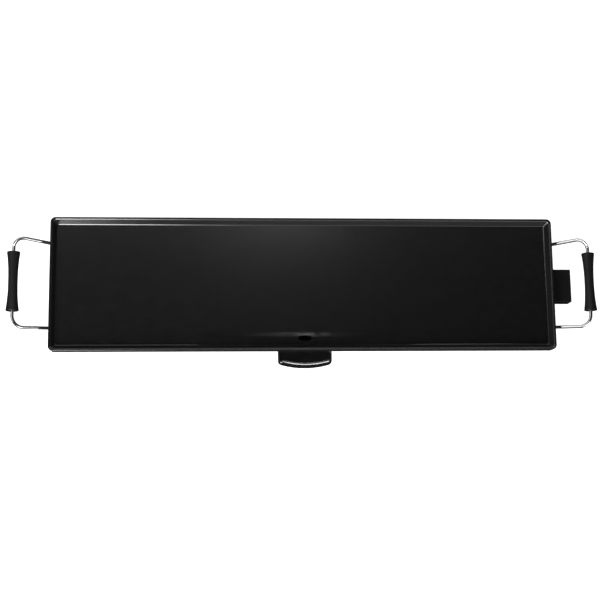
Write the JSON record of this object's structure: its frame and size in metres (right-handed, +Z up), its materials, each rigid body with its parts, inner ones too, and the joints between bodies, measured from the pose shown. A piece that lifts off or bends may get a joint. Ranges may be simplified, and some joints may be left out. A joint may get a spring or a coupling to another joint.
{
  "type": "electric griddle",
  "caption": "Long table-top electric griddle with a rimmed non-stick plate, drain gutter, pull-out drip tray, plug-in control socket and chromed wire handles.",
  "frame": {"origin": "bottom centre of the whole footprint, handles and tray pull included, on the table", "axes": "+X along the plate towards the control socket, -Y towards the drip tray, +Z up"},
  "size_m": [1.0422, 0.267, 0.1065],
  "materials": {
    "nonstick_coating": "satin black non-stick coating over cast aluminium",
    "heater_sheath": "dull heat-tinted steel sheath",
    "contact_steel": "bright nickel-plated pin",
    "seal_ceramic": "matt fired ceramic",
    "spring_brass": "rolled spring strip",
    "zinc_steel": "zinc-plated pressed sheet",
    "screw_steel": "zinc-plated screw",
    "phenolic_black": "moulded heat-proof phenolic, semi-matt",
    "foot_rubber": "matt moulded rubber",
    "handle_chrome": "bright chrome-plated wire",
    "grip_plastic": "moulded heat-proof plastic, satin",
    "tray_plastic": "glossy black moulding"
  },
  "bodies": {
    "griddle": {"earth_contact_front": "spring_brass", "earth_contact_rear": "spring_brass", "earth_rivets": "spring_brass", "element_strap_1": "zinc_steel", "element_strap_2": "zinc_steel", "element_strap_3": "zinc_steel", "element_strap_4": "zinc_steel", "element_strap_5": "zinc_steel", "element_strap_6": "zinc_steel", "element_strap_7": "zinc_steel", "element_strap_8": "zinc_steel", "foot_front_left": "foot_rubber", "foot_front_right": "foot_rubber", "foot_rear_left": "foot_rubber", "foot_rear_right": "foot_rubber", "griddle_plate": "nonstick_coating", "grip_lower_left": "grip_plastic", "grip_lower_right": "grip_plastic", "grip_screws_left": "screw_steel", "grip_screws_right": "screw_steel", "grip_upper_left": "grip_plastic", "grip_upper_right": "grip_plastic", "guard_screws": "screw_steel", "handle_wire_left": "handle_chrome", "handle_wire_right": "handle_chrome", "heat_washers": "zinc_steel", "heater_end_front": "heater_sheath", "heater_end_rear": "heater_sheath", "heating_element": "heater_sheath", "leg_front_left": "phenolic_black", "leg_front_right": "phenolic_black", "leg_rear_left": "phenolic_black", "leg_rear_right": "phenolic_black", "leg_screws": "screw_steel", "lock_washers": "screw_steel", "rail_screws": "screw_steel", "socket_guard": "phenolic_black", "strap_screws": "screw_steel", "terminal_pin_front": "contact_steel", "terminal_pin_rear": "contact_steel", "terminal_plate": "zinc_steel", "terminal_seal_front": "seal_ceramic", "terminal_seal_rear": "seal_ceramic", "tray_rail_left": "zinc_steel", "tray_rail_right": "zinc_steel"},
    "drip_tray": {"drip_tray": "tray_plastic"}
  },
  "joints": [
    {"name": "tray_slide", "type": "slide", "parent": "griddle", "child": "drip_tray", "axis": [0, -1, 0], "range_m": [0, 0.056]}
  ]
}
